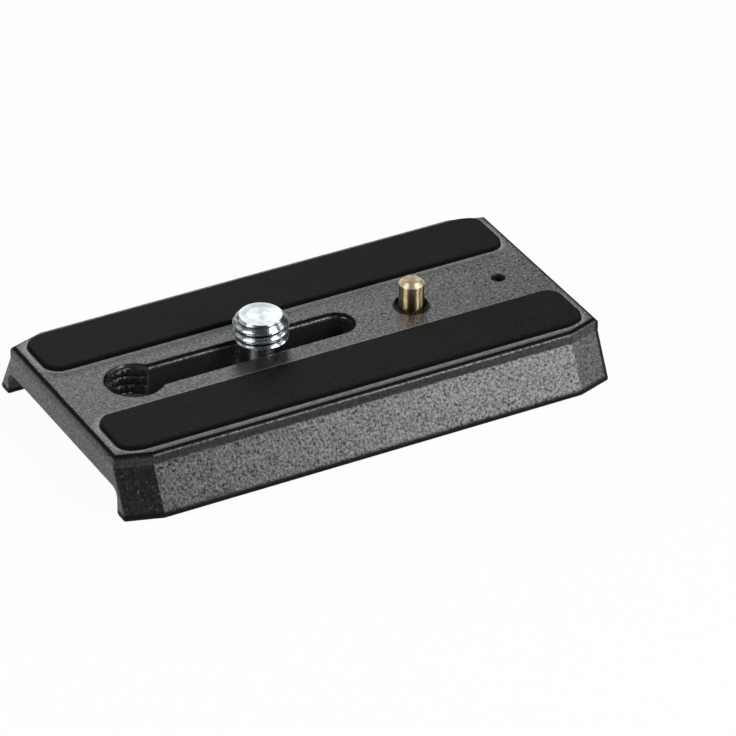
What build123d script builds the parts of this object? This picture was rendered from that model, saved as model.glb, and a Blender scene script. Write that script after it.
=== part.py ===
from build123d import *
import os

# Driving dimensions in millimetres: X runs along the plate, Y across it, Z up from the table
plate_length = 90.0
deck_width = 41.9
foot_width = 50.5
deck_height = 10.2
lip_height = 2.0
corner_cut_along = 6.2
corner_cut_across = 2.0
deck_edge_round = 0.9
foot_edge_round = 0.6

# Channel under the deck, open at both ends, between the two legs
channel_width = 39.9
channel_depth = 4.5
channel_corner_round = 1.5
channel_end_round = 0.3
leg_inner_round = 0.8

# Keyhole slot for the camera screw
slot_width = 5.4
slot_edge_round = 0.95
slot_end_x = 5.7
keyhole_x = -31.6
keyhole_diameter = 9.6
keyhole_bevel = 0.3

# Rubber strips, set into shallow pockets
pad_length = 85.8
pad_inner_y = 7.95
pad_outer_y = 19.0
pad_edge_to_corner_cut = 1.6
pad_proud = 0.85
pocket_depth = 0.4
pocket_gap = 0.06
pad_inner_round = 2.75
pad_outer_round = 2.4
pad_shoulder_round = 5.0
pad_top_round = 0.35

# Camera screw with a 3/8 inch thread, standing in the slot
screw_x = -8.4
thread_diameter = 9.4
thread_length = 4.6
thread_top_chamfer = 1.1
thread_bottom_chamfer = 0.6
neck_diameter = 4.7
head_diameter = 15.0
head_thickness = 2.8
head_edge_chamfer = 0.35
head_above_table = 0.2
screw_rise = 5.95
coin_slot_width = 1.6
coin_slot_depth = 1.1

# Sprung registration pin and the housing that guides it
pin_x = 20.0
pin_diameter = 4.3
pin_rise = 4.45
pin_top_chamfer = 0.65
pin_shank_diameter = 4.4
pin_shank_taper = 0.9
pin_hole_diameter = 4.5
pin_hole_bevel = 0.5
pin_travel = 4.0
collar_diameter = 6.8
collar_thickness = 1.0
collar_gap = 0.1
tail_diameter = 3.0
shoulder_below_deck = 1.7
housing_bore_diameter = 7.4
housing_diameter = 10.6
housing_above_table = 0.5
housing_root_round = 0.5
cap_above_table = 0.6
cap_thickness = 0.7
cap_gap = 0.02
cap_chamfer = 0.15
spring_diameter = 5.0
spring_wire = 0.4
spring_turns = 3
spring_end_gap = 0.05

# Small hole near the end of the deck
end_hole_x = 36.8
end_hole_diameter = 2.4

# Values worked out from the above
lip_bottom = deck_height - lip_height
leg_middle_y = (channel_width + foot_width) / 4
cut_margin = 1.0
same_place = 0.05
pad_top = deck_height + pad_proud
pocket_floor = deck_height - pocket_depth
screw_top = deck_height + screw_rise
thread_bottom = screw_top - thread_length
head_top = head_above_table + head_thickness
shoulder_z = deck_height - shoulder_below_deck
collar_top = shoulder_z - collar_gap
collar_bottom = collar_top - collar_thickness
cap_top = cap_above_table + cap_thickness
tail_bottom = cap_top + collar_gap + pin_travel
pin_top = deck_height + pin_rise


def plan_outline(width):
    # Rectangle as long as the plate with a long shallow cut at each corner
    end_x = plate_length / 2
    cut_x = end_x - corner_cut_along
    side_y = width / 2
    cut_y = side_y - corner_cut_across
    quarter = [(end_x, cut_y), (cut_x, side_y)]
    left = [(-x, y) for x, y in reversed(quarter)]
    half = quarter + left
    points = half + [(x, -y) for x, y in reversed(half)]
    return make_face(Polyline(*points, close=True))


def pad_outline(side):
    # Strip whose outer corners follow the plate's corner cuts at a set distance
    end_x = pad_length / 2
    cut_length = (corner_cut_along**2 + corner_cut_across**2) ** 0.5
    inset = pad_edge_to_corner_cut * cut_length / corner_cut_along
    slope = corner_cut_across / corner_cut_along
    end_y = deck_width / 2 - corner_cut_across + (plate_length / 2 - end_x) * slope - inset
    shoulder_x = end_x - (pad_outer_y - end_y) / slope
    right = [(end_x, pad_inner_y), (end_x, end_y), (shoulder_x, pad_outer_y)]
    left = [(-x, y) for x, y in reversed(right)]
    strip = make_face(Polyline(*right, *left, close=True))
    rows = strip.vertices().group_by(Axis.Y)
    strip = fillet(rows[0], pad_inner_round)
    strip = fillet(strip.vertices().group_by(Axis.Y)[-1], pad_shoulder_round)
    corners = [v for v in strip.vertices() if abs(v.Y - end_y) < same_place]
    strip = fillet(corners, pad_outer_round)
    return strip if side > 0 else mirror(strip, about=Plane.XZ)


def turned(points, x):
    # Solid of revolution about a vertical line at the given x, from (radius, height) points
    profile = make_face(Polyline(*[(r, 0, z) for r, z in points], close=True))
    return Pos(x, 0, 0) * revolve(profile, Axis.Z)


def upright(diameter, low, high, x):
    # Vertical cylinder between two heights
    return Pos(x, 0, low) * extrude(Circle(diameter / 2), high - low)


def deck_edges_near(solid, low_x, high_x):
    # Edges of the deck's top face round the openings on its middle line
    level = [e for e in solid.edges() if abs(e.center().Z - deck_height) < same_place]
    boxes = [(e, e.bounding_box()) for e in level]
    middle = [(e, box) for e, box in boxes if max(box.max.Y, -box.min.Y) < pad_inner_y]
    return [e for e, box in middle if box.min.X > low_x and box.max.X < high_x]


def make_plate_body():
    # Flared legs below a vertical lip, all with the same cut corners
    lip_outline = Pos(0, 0, lip_bottom) * plan_outline(deck_width)
    body = loft([plan_outline(foot_width), lip_outline], ruled=True) + extrude(lip_outline, lip_height)
    body = fillet(body.edges().group_by(Axis.Z)[-1], deck_edge_round)

    # Channel with rounded inner corners
    channel = Box(plate_length + 2 * cut_margin, channel_width, 2 * channel_depth)
    channel = fillet(channel.edges().filter_by(Axis.X).group_by(Axis.Z)[-1], channel_corner_round)
    body = body - channel

    # Rounded edges under the legs, outside and inside, then the ends of the channel
    foot_edges = body.edges().group_by(Axis.Z)[0].filter_by(Axis.Y, reverse=True)
    body = fillet([e for e in foot_edges if abs(e.center().Y) > leg_middle_y], foot_edge_round)
    foot_edges = body.edges().group_by(Axis.Z)[0].filter_by(Axis.X)
    body = fillet([e for e in foot_edges if abs(e.center().Y) < leg_middle_y], leg_inner_round)
    end_edges = [e for e in body.edges().filter_by(Axis.Y) if abs(e.center().Z - channel_depth) < same_place]
    body = fillet(end_edges, channel_end_round)

    # Housing for the registration pin, hanging from the underside of the deck
    housing = upright(housing_diameter, housing_above_table, channel_depth + cut_margin, pin_x)
    body = body + housing
    circles = body.edges().filter_by(GeomType.CIRCLE)
    roots = [e for e in circles if abs(e.arc_center.Z - channel_depth) + abs(e.arc_center.X - pin_x) < same_place]
    body = fillet(roots, housing_root_round)
    body = body - upright(housing_bore_diameter, -cut_margin, shoulder_z, pin_x)
    body = body - upright(pin_hole_diameter, 0, deck_height + cut_margin, pin_x)

    # Slot with rounded upper edges, then the keyhole at its left end with a bevelled rim
    slot = Pos((slot_end_x + keyhole_x) / 2, 0) * SlotCenterToCenter(slot_end_x - keyhole_x, slot_width)
    body = body - extrude(slot, deck_height + cut_margin)
    slot_right = slot_end_x + slot_width
    body = fillet(deck_edges_near(body, -plate_length / 2 + cut_margin, slot_right), slot_edge_round)
    keyhole_r = keyhole_diameter / 2
    keyhole = [
        (0, 0),
        (keyhole_r, 0),
        (keyhole_r, deck_height - keyhole_bevel),
        (keyhole_r + keyhole_bevel + cut_margin, deck_height + cut_margin),
        (0, deck_height + cut_margin),
    ]
    body = body - turned(keyhole, keyhole_x)

    # Bevel round the pin, small end hole and pockets for the rubber strips
    pin_right = pin_x + housing_diameter
    body = chamfer(deck_edges_near(body, slot_right, pin_right), pin_hole_bevel)
    body = body - upright(end_hole_diameter, 0, deck_height + cut_margin, end_hole_x)
    for side in (-1, 1):
        pocket = offset(pad_outline(side), pocket_gap)
        body = body - extrude(Pos(0, 0, pocket_floor) * pocket, pocket_depth + cut_margin)
    return body


def make_pad(side):
    strip = extrude(Pos(0, 0, pocket_floor) * pad_outline(side), pad_top - pocket_floor)
    return fillet(strip.edges().group_by(Axis.Z)[-1], pad_top_round)


def make_camera_screw():
    # Disc head, plain neck and thread, turned from one bar
    head_r = head_diameter / 2
    neck_r = neck_diameter / 2
    thread_r = thread_diameter / 2
    edge = head_edge_chamfer
    profile = [
        (0, head_above_table),
        (head_r - edge, head_above_table),
        (head_r, head_above_table + edge),
        (head_r, head_top - edge),
        (head_r - edge, head_top),
        (neck_r, head_top),
        (neck_r, thread_bottom),
        (thread_r - thread_bottom_chamfer, thread_bottom),
        (thread_r, thread_bottom + thread_bottom_chamfer),
        (thread_r, screw_top - thread_top_chamfer),
        (thread_r - thread_top_chamfer, screw_top),
        (0, screw_top),
    ]
    slot = Pos(screw_x, 0, head_above_table) * Box(
        coin_slot_width, head_diameter + cut_margin, 2 * coin_slot_depth
    )
    return turned(profile, screw_x) - slot


def make_video_pin():
    # Free end above the deck, tapered shank, collar under the housing's shoulder, tail inside the spring
    free_r = pin_diameter / 2
    shank_r = pin_shank_diameter / 2
    collar_r = collar_diameter / 2
    tail_r = tail_diameter / 2
    profile = [
        (0, tail_bottom),
        (tail_r, tail_bottom),
        (tail_r, collar_bottom),
        (collar_r, collar_bottom),
        (collar_r, collar_top),
        (shank_r, collar_top),
        (shank_r, deck_height - pin_shank_taper),
        (free_r, deck_height),
        (free_r, pin_top - pin_top_chamfer),
        (free_r - pin_top_chamfer, pin_top),
        (0, pin_top),
    ]
    return turned(profile, pin_x)


def make_pin_spring():
    # Open coil between the cap and the collar
    low = cap_top + spring_wire / 2 + spring_end_gap
    high = collar_bottom - spring_wire / 2 - spring_end_gap
    line = Helix(pitch=(high - low) / spring_turns, height=high - low, radius=spring_diameter / 2)
    section = Plane(origin=line @ 0, z_dir=line % 0) * Circle(spring_wire / 2)
    return Pos(pin_x, 0, low) * sweep(section, path=line, is_frenet=True)


def make_pin_cap():
    cap = upright(housing_bore_diameter - 2 * cap_gap, cap_above_table, cap_top, pin_x)
    return chamfer(cap.edges().group_by(Axis.Z)[0], cap_chamfer)


# Write each piece to its own file
pieces = {
    "plate_body": make_plate_body(),
    "near_pad": make_pad(-1),
    "far_pad": make_pad(1),
    "camera_screw": make_camera_screw(),
    "video_pin": make_video_pin(),
    "pin_spring": make_pin_spring(),
    "pin_cap": make_pin_cap(),
}
os.makedirs("parts", exist_ok=True)
for name, shape in pieces.items():
    export_step(shape, f"parts/{name}.step")
    print(name, round(shape.volume, 2))
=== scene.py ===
import bmesh
import bpy
import math
from mathutils import Matrix, Vector


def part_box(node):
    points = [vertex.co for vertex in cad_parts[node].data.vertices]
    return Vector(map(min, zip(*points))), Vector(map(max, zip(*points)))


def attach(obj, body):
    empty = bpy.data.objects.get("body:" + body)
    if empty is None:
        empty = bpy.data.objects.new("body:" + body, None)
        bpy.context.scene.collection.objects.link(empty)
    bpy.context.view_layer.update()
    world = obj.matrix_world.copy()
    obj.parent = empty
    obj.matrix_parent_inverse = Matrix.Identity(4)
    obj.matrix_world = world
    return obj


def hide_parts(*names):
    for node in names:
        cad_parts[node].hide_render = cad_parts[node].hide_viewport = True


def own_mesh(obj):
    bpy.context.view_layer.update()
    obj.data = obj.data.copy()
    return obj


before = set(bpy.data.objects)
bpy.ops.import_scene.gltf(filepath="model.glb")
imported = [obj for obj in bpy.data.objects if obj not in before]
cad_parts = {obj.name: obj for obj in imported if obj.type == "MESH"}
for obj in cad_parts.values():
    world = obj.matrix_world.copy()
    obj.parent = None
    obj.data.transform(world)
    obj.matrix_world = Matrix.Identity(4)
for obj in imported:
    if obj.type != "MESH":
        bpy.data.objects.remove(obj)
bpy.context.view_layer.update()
print("frame loaded:", ", ".join(sorted(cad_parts)))

mm = 0.001
fullTurn = 2 * math.pi
sameSpot = 0.001        # points this close are merged, in millimetres
sharpAngle = 32         # degrees past which an edge looks sharp
threadPitch = 1.5875    # millimetres, sixteen turns to the inch
spareTurns = (2, 1)     # of thread swept below and above its ends, then cut off


# shader helpers
class Wire:
    # one output socket, with plain arithmetic on it
    def __init__(self, paint, socket):
        self.paint = paint
        self.socket = socket

    def calc(self, operation, first, second=0.0):
        return self.paint.node("ShaderNodeMath", {"operation": operation}, {0: first, 1: second})

    def size(self):
        return self.calc("ABSOLUTE", self)

    def larger(self, other):
        return self.calc("MAXIMUM", self, other)

    def __add__(self, other):
        return self.calc("ADD", self, other)

    def __radd__(self, other):
        return self.calc("ADD", other, self)

    def __sub__(self, other):
        return self.calc("SUBTRACT", self, other)

    def __rsub__(self, other):
        return self.calc("SUBTRACT", other, self)

    def __mul__(self, other):
        return self.calc("MULTIPLY", self, other)

    def __rmul__(self, other):
        return self.calc("MULTIPLY", other, self)


class Paint:
    # the node tree of a material or a world; node() adds any node, settings first, then sockets
    def __init__(self, owner):
        owner.use_nodes = True
        self.owner = owner
        self.tree = owner.node_tree
        self.tree.nodes.clear()
        self.place = self.node("ShaderNodeTexCoord", {}, {}, "Object")
        self.facing = self.node("ShaderNodeTexCoord", {}, {}, "Normal")

    def node(self, kind, settings, sockets, output=0):
        made = self.tree.nodes.new(kind)
        for key, value in settings.items():
            if key == "stops":
                for stop, (position, shade) in zip(made.color_ramp.elements, value):
                    stop.position = position
                    stop.color = (shade, shade, shade, 1)
            else:
                setattr(made, key, value)
        for key, value in sockets.items():
            if isinstance(value, Wire):
                self.tree.links.new(value.socket, made.inputs[key])
            else:
                made.inputs[key].default_value = value
        return Wire(self, made.outputs[output]) if made.outputs else None

    def noise(self, scale, detail=2.0, roughness=0.55):
        sockets = {"Vector": self.place, "Scale": scale, "Detail": detail, "Roughness": roughness}
        return self.node("ShaderNodeTexNoise", {}, sockets, "Fac")

    def ramp(self, value, start, end):
        # 0 at start, 1 at end, straight between
        return self.node("ShaderNodeValToRGB", {"stops": ((start, 0.0), (end, 1.0))}, {"Fac": value})

    def fade(self, value, start, end):
        # 0 at start, 1 at end, smooth between
        sockets = {"Value": value, "From Min": start, "From Max": end}
        return self.node("ShaderNodeMapRange", {"interpolation_type": "SMOOTHSTEP"}, sockets)

    def band(self, value, start, end, soft):
        # 1 between start and end
        return self.fade(value, start - soft, start) * (1 - self.fade(value, end, end + soft))

    def part(self, vector, letter):
        return self.node("ShaderNodeSeparateXYZ", {}, {0: vector}, letter)

    def ray(self, kind):
        return self.node("ShaderNodeLightPath", {}, {}, kind)

    def mix(self, factor, first, second):
        sockets = {"Factor": factor, 6: first, 7: second}
        return self.node("ShaderNodeMix", {"data_type": "RGBA"}, sockets, 2)

    def bump(self, height, depth, under=None):
        sockets = {"Height": height, "Distance": depth, "Strength": 1.0}
        if under:
            sockets["Normal"] = under
        return self.node("ShaderNodeBump", {}, sockets)

    def vector(self, operation, first, second=(0, 0, 0)):
        return self.node("ShaderNodeVectorMath", {"operation": operation}, {0: first, 1: second})

    def lean(self, normal, scale, amount):
        # tips the surface a random way from grain to grain; the noise lies round 0.5
        sockets = {"Vector": self.place, "Scale": scale, "Detail": 0.5}
        random = self.node("ShaderNodeTexNoise", {}, sockets, "Color")
        away = self.vector("SUBTRACT", random, (0.5, 0.5, 0.5))
        tip = self.node("ShaderNodeVectorMath", {"operation": "SCALE"}, {0: away, "Scale": amount})
        return self.vector("NORMALIZE", self.vector("ADD", normal, tip))

    def surface(self, **sockets):
        named = {key.replace("_", " "): value for key, value in sockets.items()}
        return self.node("ShaderNodeBsdfPrincipled", {}, named)

    def blend(self, factor, first, second):
        return self.node("ShaderNodeMixShader", {}, {0: factor, 1: first, 2: second})

    def finish(self, shader, output="ShaderNodeOutputMaterial"):
        self.node(output, {}, {"Surface": shader})
        return self.owner


def newPaint(name):
    return Paint(bpy.data.materials.new(name))


def between(factor, first, last):
    # from first to last as the factor goes from 0 to 1
    return first + factor * (last - first)


def tinted(colour, factor):
    return [c * factor for c in colour[:3]] + [1]


# textured coat of the plate; lengths in metres, grain sizes in grains per metre
coat = {
    "colour": (0.0045, 0.0045, 0.0049, 1),
    "lightGrain": 3.2,                  # how much lighter the tops of the grains are
    "toneRange": (0.35, 0.65),
    "patchShare": 0.25,                 # of the tone; the grain gives the rest
    "grain": 2100,
    "fineGrain": 4200,
    "glintGrain": 1680,
    "sheenGrain": 2373,
    "patches": 90,
    "depth": 0.00003,
    "fineDepth": 0.000006,
    "edgeRound": 0.00045,               # sharp edges catch light as if rounded this far
    "edgeSamples": 6,
    "lean": (0.22, 1.4),                # of most grains, and of the few that glint
    "deckLean": (0.35, 1.0),            # of the few on the deck, at the left end and at the right
    "rightward": 0.2,                   # how much more they lean towards the right end
    "glint": (0.6, 0.7),
    "sheen": (0.28, 0.72),              # grain heights between which the gloss comes up
    "roughness": (0.25, 0.08, 0.05),    # at least, then with the fine grain and the patches
    "specular": 0.3,
    "gloss": (0.8, 0.26),               # weight and roughness
    "deckTilt": (0.97, 0.995),          # how level a surface is to count as the deck
    "deckRoughness": (0.48, 0.2, 0.06),     # at most, then less the sheen and with the fine grain
    "deckSpecular": 1.0,
    "paintedHighlight": (0.36, 0.36, 0.364, 1),     # painted highlight: a light border beside the pads
    "paintedHighlightReach": 0.0015,
    "paintedHighlightCover": (0.99, 0.78),          # share of open sky, where the border starts and where it is full
    "paintedHighlightStart": (0.002, 0.001),        # from a pad's inner side, where it may start and be full
    "paintedHighlightGrain": 0.4,                   # how much the grain breaks it up
    "paintedOpeningsLight": (0.02, 0.02, 0.0207, 1),    # painted light: a lighter colour inside the openings
    "openingsX": (0.0385, 0.0395),
    "openingsY": (0.0052, 0.0054),
    "openingsZ": (0.0043, 0.0046),
    "openingsTilt": (0.3, 0.42),
    "openingsShade": 0.15,
    # painted shade: near black and matt, mixed over the coat where shade is wanted
    "darkToneAndPaintedShade": (0.003, 0.003, 0.003, 1),
    "paintedShadeRoughness": 0.55,
    "paintedShadeSpecular": 0.06,
    "paintedShadeMost": 0.94,
    "soft": 0.0004,                     # width over which the rims and the lip fade
    "rimInset": (0.0068, 0.0062),       # from the end and from the side of the plate
    "rimTilt": (0.985, 0.955, 0.66, 0.56),  # from level to steep: none, full, full, none
    "slotReach": (0.0037, 0.0039),
    "foot": (0.0009, 0.0015),           # painted shadow near the table; heights above the table, as for the lip
    "lip": (0.0086, 0.0093),
    "lipShade": (0.3, 0.0),             # in the left half, and at the right end
    "lipEnd": 0.04,
    # painted dark line at the right end, on what does not face right
    "rightEdge": (0.0441, 0.0445),
    "rightTilt": (0.6, 0.8),
    # painted shadow round the pin
    "pinRing": (0.0029, 0.0034),
    "ringShift": (-0.0005, -0.0009, 0),
}


def paintedHighlightMask(p, across, deck, tone):
    # painted highlight beside the pads, where they cover part of the sky
    sky = p.node("ShaderNodeAmbientOcclusion", {}, {"Distance": coat["paintedHighlightReach"]}, "AO")
    padSide = Vector(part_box("far_pad")[0]).y
    start, full = (padSide - gap for gap in coat["paintedHighlightStart"])
    grainy = 1 - coat["paintedHighlightGrain"] + tone * coat["paintedHighlightGrain"]
    return p.fade(sky, *coat["paintedHighlightCover"]) * deck * p.fade(across.size(), start, full) * grainy


def openingsMask(p, along, across, height, up):
    # the walls of the slot and the holes
    inside = 1 - p.fade(across.size(), *coat["openingsY"])
    inside = inside * (1 - p.fade(along.size(), *coat["openingsX"]))
    return inside * (1 - p.fade(up, *coat["openingsTilt"])) * p.fade(height, *coat["openingsZ"])


def paintedRimShadeMask(p, along, across, up):
    # painted dark line on the rounded edges round the deck and along the slot
    high = Vector(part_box("plate_body")[1])
    end = high.x - coat["rimInset"][0]
    side = high.y - coat["rimInset"][1]
    atEnd = p.fade(along.size(), end, end + coat["soft"])
    atSide = p.fade(across.size(), side, side + coat["soft"])
    atSlot = 1 - p.fade(across.size(), *coat["slotReach"])
    flat, start, finish, steep = coat["rimTilt"]
    rounded = p.fade(up, flat, start) * p.fade(up, steep, finish)
    return rounded * atEnd.larger(atSide).larger(atSlot)


def paintedPinShadowMask(p):
    # painted shadow in a patch round the pin, a little to its front left
    low, high = (Vector(corner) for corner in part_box("video_pin"))
    middle = (low + high) / 2 + Vector(coat["ringShift"])
    flatPlace = p.vector("MULTIPLY", p.vector("SUBTRACT", p.place, middle), (1, 1, 0))
    reach = p.node("ShaderNodeVectorMath", {"operation": "LENGTH"}, {0: flatPlace}, "Value")
    return 1 - p.fade(reach, *coat["pinRing"])


def paintedShadeMask(p, along, across, height, up, inside):
    # painted shade: close to the table, on the lip and the rims, round the pin, at the right end and in the
    # openings
    lipShade = between(p.fade(along, 0, coat["lipEnd"]), *coat["lipShade"])
    lip = p.band(height, *coat["lip"], coat["soft"]) * (1 - up.size()) * lipShade
    turnedAway = 1 - p.fade(p.part(p.facing, "X"), *coat["rightTilt"])
    darkToneAndPaintedShade = 1 - p.fade(height, *coat["foot"])
    darkToneAndPaintedShade = darkToneAndPaintedShade.larger(lip)
    darkToneAndPaintedShade = darkToneAndPaintedShade.larger(paintedRimShadeMask(p, along, across, up))
    darkToneAndPaintedShade = darkToneAndPaintedShade.larger(paintedPinShadowMask(p))
    darkToneAndPaintedShade = darkToneAndPaintedShade.larger(p.fade(along, *coat["rightEdge"]) * turnedAway)
    return darkToneAndPaintedShade.larger(inside * coat["openingsShade"])


def makeCoat():
    p = newPaint("texturedCoat")
    along, across, height = (p.part(p.place, letter) for letter in "XYZ")
    up = p.part(p.facing, "Z")
    endX = Vector(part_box("plate_body")[1]).x
    grain = p.noise(coat["grain"], detail=0.5, roughness=0.5)
    fine = p.noise(coat["fineGrain"], roughness=0.5)
    patches = p.noise(coat["patches"])
    sheen = p.fade(p.noise(coat["sheenGrain"], detail=1.0, roughness=0.5), *coat["sheen"])
    glint = p.fade(p.noise(coat["glintGrain"], detail=0.0), *coat["glint"])
    deck = p.fade(up, *coat["deckTilt"])

    # grains that lean all ways, less on the deck than on the sides
    smooth = p.node("ShaderNodeBevel", {"samples": coat["edgeSamples"]}, {"Radius": coat["edgeRound"]})
    relief = p.bump(fine, coat["fineDepth"], p.bump(grain, coat["depth"], smooth))
    most, few = coat["lean"]
    rightward = 1 + p.fade(along, 0, endX) * coat["rightward"]
    sideNormal = p.lean(relief, coat["grain"], between(glint, most, few) * rightward)
    deckFew = between(p.fade(along, -endX, endX), *coat["deckLean"])
    deckNormal = p.lean(relief, coat["grain"], between(glint, most, deckFew))

    # near black, with lighter grains, a painted highlight beside the pads and painted light in the openings
    mottle = grain * (1 - coat["patchShare"]) + patches * coat["patchShare"]
    tone = p.ramp(mottle, *coat["toneRange"])
    inside = openingsMask(p, along, across, height, up)
    colour = p.mix(tone, coat["colour"], tinted(coat["colour"], coat["lightGrain"]))
    colour = p.mix(inside, colour, coat["paintedOpeningsLight"])
    colour = p.mix(paintedHighlightMask(p, across, deck, tone), colour, coat["paintedHighlight"])

    # glossy sides, a softer deck, and painted shade over both
    least, fineRough, patchRough = coat["roughness"]
    glossWeight, glossRoughness = coat["gloss"]
    sides = p.surface(
        Base_Color=colour,
        Roughness=least + fine * fineRough + patches * patchRough,
        Specular_IOR_Level=coat["specular"],
        Coat_Weight=sheen * glossWeight,
        Coat_Roughness=glossRoughness,
        Normal=sideNormal,
    )
    roughest, sheenSmooth, deckFine = coat["deckRoughness"]
    deckTop = p.surface(
        Base_Color=colour,
        Roughness=roughest - sheen * sheenSmooth + fine * deckFine,
        Specular_IOR_Level=coat["deckSpecular"],
        Normal=deckNormal,
    )
    # the painted shade, near black and matt
    darkToneAndPaintedShade = p.surface(
        Base_Color=coat["darkToneAndPaintedShade"],
        Roughness=coat["paintedShadeRoughness"],
        Specular_IOR_Level=coat["paintedShadeSpecular"],
        Normal=sideNormal,
    )
    shade = paintedShadeMask(p, along, across, height, up, inside) * coat["paintedShadeMost"]
    return p.finish(p.blend(shade, p.blend(deck, sides, deckTop), darkToneAndPaintedShade))


cutThread = {
    "colour": (0.004, 0.004, 0.0042, 1),
    "lighter": 3.0,
    "grain": 1500,
    "depth": 0.00002,
    "lean": 1.5,
    "roughness": (0.24, 0.2),           # at least, then with the grain
    "specular": 0.36,
}


def makeCutThread():
    p = newPaint("cutThread")
    grain = p.noise(cutThread["grain"])
    least, grainRough = cutThread["roughness"]
    relief = p.bump(grain, cutThread["depth"])
    return p.finish(p.surface(
        Base_Color=p.mix(grain, cutThread["colour"], tinted(cutThread["colour"], cutThread["lighter"])),
        Roughness=least + grain * grainRough,
        Specular_IOR_Level=cutThread["specular"],
        Normal=p.lean(relief, cutThread["grain"], cutThread["lean"]),
    ))


rubber = {
    "colour": (0.0047, 0.0047, 0.0049, 1),
    "tints": (0.4, 2.3),                # of the colour, in its darkest and lightest specks
    # painted shade: the rounded edges darker
    "paintedEdgeShade": 0.3,
    "grain": 5200,
    "speckle": 2200,
    "smudge": 120,
    "smudgeShare": 0.3,                 # of the tone; the speckle gives the rest
    "toneRange": (0.35, 0.65),
    "depth": 0.000012,
    "edge": (0.75, 0.45),               # tilt where the rounded edge starts, and where it is full
    "roughness": (0.46, 0.14, 0.18, 0.2),   # at least, then with smudge, speckle and edge
    "specular": 0.1,
}


def makeRubber():
    p = newPaint("padRubber")
    grain = p.noise(rubber["grain"])
    speckle = p.noise(rubber["speckle"], detail=1.0)
    smudge = p.noise(rubber["smudge"], detail=3.0, roughness=0.6)
    edge = p.fade(p.part(p.facing, "Z"), *rubber["edge"])
    mottle = smudge * rubber["smudgeShare"] + speckle * (1 - rubber["smudgeShare"])
    darkest, lightest = (tinted(rubber["colour"], tint) for tint in rubber["tints"])
    colour = p.mix(p.fade(mottle, *rubber["toneRange"]), darkest, lightest)
    least, smudgeRough, speckleRough, edgeRough = rubber["roughness"]
    # painted shade on the rounded edges
    return p.finish(p.surface(
        Base_Color=p.mix(edge, colour, tinted(rubber["colour"], rubber["paintedEdgeShade"])),
        Roughness=least + smudge * smudgeRough + speckle * speckleRough + edge * edgeRough,
        Specular_IOR_Level=rubber["specular"],
        Normal=p.bump(grain, rubber["depth"]),
    ))


zinc = {
    "colour": (0.63, 0.68, 0.7, 1),
    "darkToneAndPaintedShade": (0.43, 0.48, 0.5, 1),
    "paintedGrooveShade": (0.05, 0.055, 0.06, 1),    # painted shade deep in the thread
    "neck": (0.62, 0.67, 0.7, 1),
    "cloud": 700,
    "dullCloud": (0.4, 0.75),
    "endTilt": (0.96, 0.995),
    "grooveReach": 0.0007,
    "grooveSky": (0.35, 0.8),           # share of open sky between the painted groove shade and clean plating
    "threadFoot": (0.0114, 0.0118),     # height where the neck ends
    "grain": 2600,
    "depth": 0.000008,
    "roughness": (0.22, 0.1, 0.07, 0.02),   # at least, then with cloud and end face, less the neck
    "brushed": (0.75, 0.25),            # strength and turn
}


def makeZinc():
    p = newPaint("zincPlate")
    cloud = p.noise(zinc["cloud"], detail=3.0, roughness=0.6)
    grain = p.noise(zinc["grain"])
    endFace = p.fade(p.part(p.facing, "Z"), *zinc["endTilt"])
    neck = 1 - p.fade(p.part(p.place, "Z"), *zinc["threadFoot"])
    # painted shade in the thread's grooves, where little sky is open
    reach = {"Distance": zinc["grooveReach"]}
    sky = p.node("ShaderNodeAmbientOcclusion", {"only_local": True}, reach, "AO")
    plating = p.mix(p.ramp(cloud, *zinc["dullCloud"]), zinc["colour"], zinc["darkToneAndPaintedShade"])
    plating = p.mix(neck, plating, zinc["neck"])
    least, cloudRough, endRough, neckSmooth = zinc["roughness"]
    brushStrength, brushTurn = zinc["brushed"]
    return p.finish(p.surface(
        Base_Color=p.mix(p.fade(sky, *zinc["grooveSky"]), zinc["paintedGrooveShade"], plating),
        Metallic=1.0,
        Roughness=least + cloud * cloudRough + endFace * endRough - neck * neckSmooth,
        Anisotropic=brushStrength,
        Anisotropic_Rotation=brushTurn,
        Normal=p.bump(grain, zinc["depth"]),
    ))


brass = {
    "colour": (0.77, 0.64, 0.41, 1),
    "darkToneAndPaintedShade": (0.4, 0.28, 0.13, 1),
    # painted highlight: a much lighter colour on the bevel ring
    "bevel": (0.95, 0.84, 0.62, 1),
    # painted shade: a darker end face, in cloudy patches
    "endFace": (0.22, 0.18, 0.11, 1),
    "endLeast": 0.3,                    # share of the end face's colour where there is no cloud
    "cloud": 900,
    "dullCloud": (0.4, 0.7),
    "endTilt": (0.9, 0.99),
    "bevelTilt": (0.6, 0.8, 0.1),       # from, to, and how soft
    "turning": 260,
    "turningWander": 2.0,
    "depth": 0.000008,
    "roughness": (0.25, 0.08, 0.5),     # at least, then with cloud and bevel
    "brushed": (0.97, 0.25),            # strength and turn
}


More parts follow.
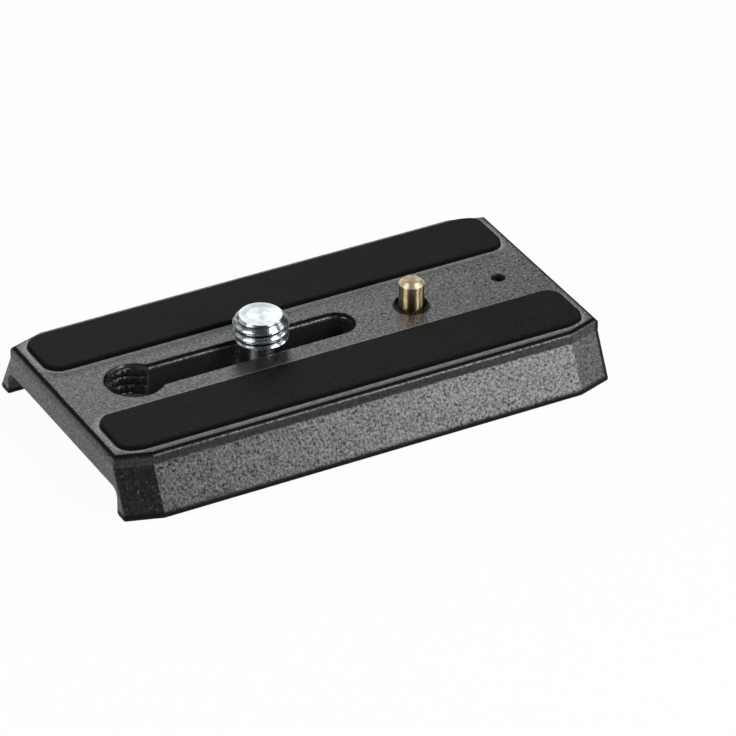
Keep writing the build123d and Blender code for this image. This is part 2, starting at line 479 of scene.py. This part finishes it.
def makeBrass():
    p = newPaint("turnedBrass")
    cloud = p.noise(brass["cloud"], detail=3.0, roughness=0.6)
    up = p.part(p.facing, "Z")
    endFace = p.fade(up, *brass["endTilt"])
    bevel = p.band(up, *brass["bevelTilt"])
    colour = p.mix(p.ramp(cloud, *brass["dullCloud"]), brass["colour"], brass["darkToneAndPaintedShade"])
    # painted shade on the end face
    colour = p.mix(endFace * (brass["endLeast"] + cloud), colour, brass["endFace"])
    rings = p.node(
        "ShaderNodeTexWave",
        {"wave_type": "BANDS", "bands_direction": "Z"},
        {"Vector": p.place, "Scale": brass["turning"], "Distortion": brass["turningWander"], "Detail": 2.0},
        "Fac",
    )
    least, cloudRough, bevelRough = brass["roughness"]
    brushStrength, brushTurn = brass["brushed"]
    # painted highlight on the bevel ring
    return p.finish(p.surface(
        Base_Color=p.mix(bevel, colour, brass["bevel"]),
        Metallic=1.0,
        Roughness=least + cloud * cloudRough + bevel * bevelRough,
        Anisotropic=brushStrength,
        Anisotropic_Rotation=brushTurn,
        Normal=p.bump(rings, brass["depth"]),
    ))


springSteel = {
    "dark": (0.4, 0.4, 0.42, 1),
    "light": (0.6, 0.6, 0.62, 1),
    "cloud": 900,
    "roughness": (0.25, 0.2),           # at least, then with the cloud
}


def makeSpringSteel():
    p = newPaint("springWire")
    cloud = p.noise(springSteel["cloud"])
    least, cloudRough = springSteel["roughness"]
    return p.finish(p.surface(
        Base_Color=p.mix(cloud, springSteel["dark"], springSteel["light"]),
        Metallic=1.0,
        Roughness=least + cloud * cloudRough,
    ))


coatPaint = makeCoat()
cutPaint = makeCutThread()
rubberPaint = makeRubber()
zincPaint = makeZinc()
brassPaint = makeBrass()
springPaint = makeSpringSteel()
dressed = {
    "plate_body": coatPaint,
    "near_pad": rubberPaint,
    "far_pad": rubberPaint,
    "video_pin": brassPaint,
    "pin_cap": zincPaint,
}
for node, paint in dressed.items():
    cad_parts[node].data.materials.clear()
    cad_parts[node].data.materials.append(paint)
print("finishes on the CAD nodes")


# mesh helpers, all in millimetres round an upright axis at the origin
def boxOf(node):
    return [Vector(corner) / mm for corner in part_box(node)]


def chain(bm, points):
    # a line of edges through (radius, height) points
    verts = [bm.verts.new((r, 0, z)) for r, z in points]
    return verts + [bm.edges.new(pair) for pair in zip(verts, verts[1:])]


def threadLine(radius, depth, low, high, thread):
    # one rounded wave for each turn
    below, above = spareTurns
    count = thread["pointsPerTurn"]
    turns = math.ceil((high - low) / thread["pitch"]) + below + above
    points = []
    for k in range(turns * count + 1):
        swell = math.sin(math.pi * (k % count) / count) ** thread["fullness"]
        points.append((radius + depth * swell, low + (k / count - below) * thread["pitch"]))
    return points


def sweepRound(bm, line, steps, angle=fullTurn, rise=0.0, merge=False):
    bmesh.ops.spin(
        bm, geom=line, cent=(0, 0, 0), axis=(0, 0, 1), angle=angle, steps=steps,
        dvec=(0, 0, rise / steps), use_merge=merge, use_duplicate=False,
    )


def openEdges(items):
    return [e for e in items if isinstance(e, bmesh.types.BMEdge) and e.is_boundary]


def trim(bm, low, high, closed):
    # cuts off what is below low and above high
    for z, side in ((low, -1), (high, 1)):
        whole = list(bm.verts) + list(bm.edges) + list(bm.faces)
        bmesh.ops.bisect_plane(bm, geom=whole, plane_co=(0, 0, z), plane_no=(0, 0, side), clear_outer=True)
        if closed:
            bmesh.ops.holes_fill(bm, edges=openEdges(bm.edges))


def scaleRadius(vert, factor):
    vert.co.x *= factor
    vert.co.y *= factor


def newPiece(name, bm, body, material, sharp=sharpAngle):
    # from here on in metres; the object itself stays at the origin
    bmesh.ops.remove_doubles(bm, verts=bm.verts, dist=sameSpot / 2)
    bmesh.ops.recalc_face_normals(bm, faces=bm.faces)
    bmesh.ops.scale(bm, vec=(mm, mm, mm), verts=bm.verts)
    mesh = bpy.data.meshes.new(name)
    bm.to_mesh(mesh)
    bm.free()
    for face in mesh.polygons:
        face.use_smooth = True
    mesh.set_sharp_from_angle(angle=math.radians(sharp))
    piece = bpy.data.objects.new(name, mesh)
    bpy.context.scene.collection.objects.link(piece)
    mesh.materials.append(material)
    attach(piece, body)
    print(name, "made,", len(mesh.polygons), "faces")
    return piece


# camera screw with its real thread
screw = {
    "pitch": threadPitch,
    "crestRadius": 4.7,
    "threadDepth": 1.0,
    "fullness": 0.75,       # below 1 makes broad round crests over narrow roots
    "pointsPerTurn": 14,
    "steps": 120,
    "threadLength": 4.6,
    "topChamfer": 1.1,
    "lowChamfer": 0.6,
    "topSteps": ((0.5, 0.0), (0.3, 0.05), (0.7, 0.05)),     # in and down: the end's rim, then its dish
    "topBand": 0.01,        # how near the top an edge has to be to belong to the end
    "neckRadius": 2.35,
    "headThickness": 2.8,
    "headEdge": 0.35,
    "knurlTeeth": 72,
    "knurlDepth": 0.22,
    "knurlBand": 0.05,      # how near the rim a point has to be to belong to the knurl
    "coinSlot": (1.6, 1.1),     # width and depth
    "coinReach": 1.2,       # half the cutter's length, in radii of the head
}


def addThread(bm, bottom, top):
    # the line is swept once round while it climbs by one pitch
    crest = screw["crestRadius"]
    root = crest - screw["threadDepth"]
    line = threadLine(root, screw["threadDepth"], bottom, top, screw)
    sweepRound(bm, chain(bm, line), screw["steps"], rise=screw["pitch"])
    bmesh.ops.remove_doubles(bm, verts=bm.verts, dist=sameSpot)
    trim(bm, bottom, top, closed=False)
    for v in bm.verts:          # both ends of the thread run out on a cone
        radius = math.hypot(v.co.x, v.co.y)
        topCone = crest - screw["topChamfer"] + top - v.co.z
        lowCone = crest - screw["lowChamfer"] + v.co.z - bottom
        limit = min(crest, topCone, lowCone)
        if radius > limit:
            scaleRadius(v, limit / radius)


def addEndFace(bm, top):
    edges = [e for e in openEdges(bm.edges) if min(v.co.z for v in e.verts) > top - screw["topBand"]]
    radius = screw["crestRadius"] - screw["topChamfer"]
    for inward, drop in screw["topSteps"]:
        grown = bmesh.ops.extrude_edge_only(bm, edges=edges)["geom"]
        rim = [v for v in grown if isinstance(v, bmesh.types.BMVert)]
        shrink = (radius - inward) / radius
        bmesh.ops.scale(bm, vec=(shrink, shrink, 1), verts=rim)
        bmesh.ops.translate(bm, vec=(0, 0, -drop), verts=rim)
        radius -= inward
        edges = openEdges(grown)
    bmesh.ops.holes_fill(bm, edges=edges)


def addHead(bm, low, neckTop, headRadius):
    edge = screw["headEdge"]
    neck = screw["neckRadius"]
    high = low + screw["headThickness"]
    rimPoints = 2 * screw["knurlTeeth"]
    line = chain(bm, [
        (neck, neckTop),
        (neck, high),
        (headRadius - edge, high),
        (headRadius, high - edge),
        (headRadius, low + edge),
        (headRadius - edge, low),
        (0, low),
    ])
    sweepRound(bm, line, rimPoints, merge=True)
    bmesh.ops.remove_doubles(bm, verts=bm.verts, dist=sameSpot)
    for v in bm.verts:          # every second point of the rim goes in, which leaves straight teeth
        if math.hypot(v.co.x, v.co.y) > headRadius - screw["knurlBand"]:
            tooth = round(math.atan2(v.co.y, v.co.x) / fullTurn * rimPoints)
            if tooth % 2:
                scaleRadius(v, 1 - screw["knurlDepth"] / headRadius)


def cutCoinSlot(piece, axisX, low, headRadius):
    width, depth = screw["coinSlot"]
    length = 2 * screw["coinReach"] * headRadius
    cut = bmesh.new()
    bmesh.ops.create_cube(cut, size=1)
    bmesh.ops.scale(cut, vec=(width * mm, length * mm, 2 * depth * mm), verts=cut.verts)
    bmesh.ops.translate(cut, vec=(axisX * mm, 0, low * mm), verts=cut.verts)
    cutMesh = bpy.data.meshes.new("coinCut")
    cut.to_mesh(cutMesh)
    cut.free()
    cutter = bpy.data.objects.new("coinCut", cutMesh)
    bpy.context.scene.collection.objects.link(cutter)
    groove = piece.modifiers.new("coinSlot", "BOOLEAN")
    groove.object = cutter
    groove.operation = "DIFFERENCE"
    groove.solver = "EXACT"
    bpy.context.view_layer.update()
    evaluated = piece.evaluated_get(bpy.context.evaluated_depsgraph_get())
    finished = bpy.data.meshes.new_from_object(evaluated)
    piece.modifiers.remove(groove)
    piece.data = finished
    bpy.data.objects.remove(cutter)
    finished.set_sharp_from_angle(angle=math.radians(sharpAngle))
    print("coin slot cut,", len(finished.polygons), "faces")


def makeScrew():
    low, high = boxOf("camera_screw")
    axisX = (low.x + high.x) / 2
    headRadius = (high.x - low.x) / 2
    bottom = high.z - screw["threadLength"]
    bm = bmesh.new()
    addThread(bm, bottom, high.z)
    addEndFace(bm, high.z)
    addHead(bm, low.z, bottom, headRadius)
    bmesh.ops.bridge_loops(bm, edges=openEdges(bm.edges))       # from the neck to the thread
    bmesh.ops.translate(bm, vec=(axisX, 0, 0), verts=bm.verts)
    piece = newPiece("threadedScrew", bm, "screw", zincPaint)
    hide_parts("camera_screw")
    cutCoinSlot(piece, axisX, low.z, headRadius)


makeScrew()


# thread in the keyhole, all round but for the slot's mouth
tap = {
    "x": -31.6,
    "backRadius": 4.86,
    "crestRadius": 4.45,
    "rootGap": 0.04,        # from the back to the bottom of the grooves
    "pitch": threadPitch,
    "fullness": 0.8,
    "low": 4.7,
    "high": 9.6,
    "mouth": 36,            # degrees left free on either side of the slot
    "runOut": 14,           # degrees over which the thread fades out
    "leastKept": 0.12,      # share of its height that is left there
    "pointsPerTurn": 8,
    "steps": 90,
}


def makeTap():
    bm = bmesh.new()
    start = math.radians(tap["mouth"])
    sweep = fullTurn - 2 * start
    back = tap["backRadius"]
    wave = threadLine(back - tap["rootGap"], tap["crestRadius"] - back, tap["low"], tap["high"], tap)
    line = chain(bm, wave + [(back, wave[-1][1]), (back, wave[0][1])])
    line.append(bm.edges.new((line[len(wave) + 1], line[0])))
    sweepRound(bm, line, tap["steps"], sweep, tap["pitch"] * sweep / fullTurn)
    bmesh.ops.holes_fill(bm, edges=openEdges(bm.edges))
    trim(bm, tap["low"], tap["high"], closed=True)
    for v in bm.verts:
        turned = math.degrees(math.atan2(v.co.y, v.co.x) % fullTurn)
        kept = min(1, turned / tap["runOut"], (math.degrees(sweep) - turned) / tap["runOut"])
        radius = math.hypot(v.co.x, v.co.y)
        wanted = back - (back - radius) * max(kept, tap["leastKept"])
        scaleRadius(v, wanted / radius)
    bmesh.ops.rotate(bm, cent=(0, 0, 0), matrix=Matrix.Rotation(start, 3, "Z"), verts=bm.verts)
    bmesh.ops.translate(bm, vec=(tap["x"], 0, 0), verts=bm.verts)
    newPiece("keyholeThread", bm, "plate", cutPaint)


makeTap()


# coil under the pin's collar
coil = {
    "wire": 0.2,            # radius of the wire
    "radius": 2.5,
    "turns": 3,
    "sides": 10,
    "stepsPerTurn": 40,
    "sharpAngle": 60,
    "kept": 0.335,          # share of its height when the pin is down
}


def makeCoil():
    low, high = boxOf("pin_spring")
    centre = (low + high) / 2
    bottom, top = low.z + coil["wire"], high.z - coil["wire"]
    bm = bmesh.new()
    ring = bmesh.ops.create_circle(bm, segments=coil["sides"], radius=coil["wire"])["verts"]
    bmesh.ops.rotate(bm, cent=(0, 0, 0), matrix=Matrix.Rotation(math.pi / 2, 3, "X"), verts=ring)
    bmesh.ops.translate(bm, vec=(coil["radius"], 0, bottom), verts=ring)
    steps = coil["turns"] * coil["stepsPerTurn"]
    sweepRound(bm, list(bm.verts) + list(bm.edges), steps, fullTurn * coil["turns"], top - bottom)
    bmesh.ops.remove_doubles(bm, verts=bm.verts, dist=sameSpot)
    bmesh.ops.holes_fill(bm, edges=openEdges(bm.edges))
    bmesh.ops.translate(bm, vec=(centre.x, centre.y, 0), verts=bm.verts)
    piece = newPiece("pinCoil", bm, "plate", springPaint, coil["sharpAngle"])
    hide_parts("pin_spring")
    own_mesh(piece)


makeCoil()


# floor, light and camera, in metres
floor = {
    "halfSize": 4,
    "colour": (0.85, 0.85, 0.85, 1),
    "white": (1, 1, 1, 1),
    "seen": 0.95,                   # share of plain white that the camera sees
    "mirrored": 0.48,               # and that shiny surfaces show
    "shadeInset": (0.009, 0.004),   # the white fades out this far in from the edge of the plate
    "drop": 0.00005,                # keeps it off the feet
}


def makeFloor():
    bm = bmesh.new()
    bmesh.ops.create_grid(bm, x_segments=1, y_segments=1, size=floor["halfSize"])
    bmesh.ops.translate(bm, vec=(0, 0, -floor["drop"]), verts=bm.verts)
    mesh = bpy.data.meshes.new("floor")
    bm.to_mesh(mesh)
    bm.free()
    ground = bpy.data.objects.new("floor", mesh)
    bpy.context.scene.collection.objects.link(ground)
    p = newPaint("paleFloor")
    high = Vector(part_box("plate_body")[1])
    under = 1
    for letter, reach in (("X", high.x), ("Y", high.y)):
        inner, outer = (reach - inset for inset in floor["shadeInset"])
        under = (1 - p.fade(p.part(p.place, letter).size(), inner, outer)) * under
    mirrored = p.ray("Is Glossy Ray") + p.ray("Is Transmission Ray")
    seen = p.ray("Is Camera Ray") * floor["seen"] + mirrored * floor["mirrored"]
    lit = p.node("ShaderNodeBsdfDiffuse", {}, {"Color": floor["colour"]})
    white = p.node("ShaderNodeEmission", {}, {"Color": floor["white"], "Strength": 1.0})
    below = p.node("ShaderNodeNewGeometry", {}, {}, "Backfacing")
    clear = p.node("ShaderNodeBsdfTransparent", {}, {})
    mesh.materials.append(p.finish(p.blend(below, p.blend(seen * (1 - under), lit, white), clear)))


studio = {
    "glow": (0.045, 0.045, 0.047, 1),
    "backdrop": (1, 1, 1, 1),
}


def makeWorld():
    world = bpy.data.worlds.new("studio")
    bpy.context.scene.world = world
    p = Paint(world)
    glow = p.node("ShaderNodeBackground", {}, {"Color": studio["glow"]})
    backdrop = p.node("ShaderNodeBackground", {}, {"Color": studio["backdrop"]})
    p.finish(p.blend(p.ray("Is Camera Ray"), glow, backdrop), "ShaderNodeOutputWorld")


def direction(azimuth, elevation):
    # azimuth 0 is in front, 90 to the right, both in degrees
    around, up = math.radians(azimuth), math.radians(elevation)
    return Vector((math.sin(around) * math.cos(up), -math.cos(around) * math.cos(up), math.sin(up)))


panels = {
    "front": {"azimuth": 31.4, "elevation": 31.5, "distance": 0.7, "size": (0.2, 0.57), "glow": 11.3},
    "right": {"azimuth": 66, "elevation": 16, "distance": 0.7, "size": (0.2, 0.35), "glow": 5.6},
    "back": {"azimuth": 162, "elevation": 30, "distance": 0.8, "size": (0.45, 0.48), "glow": 2.2},
    "left": {"azimuth": -83, "elevation": 25, "distance": 0.7, "size": (0.4, 0.4), "glow": 8.2},
    "farLeft": {"azimuth": -138, "elevation": 27, "distance": 0.8, "size": (0.5, 0.4), "glow": 0.7},
}


def makePanels():
    for name, panel in panels.items():
        back = direction(panel["azimuth"], panel["elevation"])
        light = bpy.data.lights.new(name, "AREA")
        light.shape = "RECTANGLE"
        light.size, light.size_y = panel["size"]
        light.energy = panel["glow"] * math.pi * light.size * light.size_y
        lamp = bpy.data.objects.new(name, light)
        lamp.location = back * panel["distance"]
        lamp.rotation_euler = back.to_track_quat("Z", "Y").to_euler()
        lamp.visible_camera = False
        bpy.context.scene.collection.objects.link(lamp)


# read off the photograph's perspective
eye = {
    "azimuth": -29.156,
    "elevation": 32.431,
    "roll": 0.652,
    "distance": 0.87964,
    "shift": (0.0103976, 0.0026608),    # to the right and up
    "focal": 5287.56,                   # in pixels of the frame
    "frame": 736,
    "sensor": 36,                       # millimetres
}


def makeCamera():
    around, roll = math.radians(eye["azimuth"]), math.radians(eye["roll"])
    back = direction(eye["azimuth"], eye["elevation"])
    right = Vector((math.cos(around), math.sin(around), 0))
    top = back.cross(right)
    turnedRight = right * math.cos(roll) + top * math.sin(roll)
    turnedTop = top * math.cos(roll) - right * math.sin(roll)
    data = bpy.data.cameras.new("camera")
    data.sensor_width = eye["sensor"]
    data.lens = eye["focal"] * eye["sensor"] / eye["frame"]
    camera = bpy.data.objects.new("camera", data)
    place = back * eye["distance"] + turnedRight * eye["shift"][0] + turnedTop * eye["shift"][1]
    turned = Matrix((turnedRight, turnedTop, back)).transposed().to_4x4()
    camera.matrix_world = Matrix.Translation(place) @ turned
    bpy.context.scene.collection.objects.link(camera)
    bpy.context.scene.camera = camera


makeFloor()
makeWorld()
makePanels()
makeCamera()
bpy.context.scene.view_settings.view_transform = "Standard"
print("stage ready")
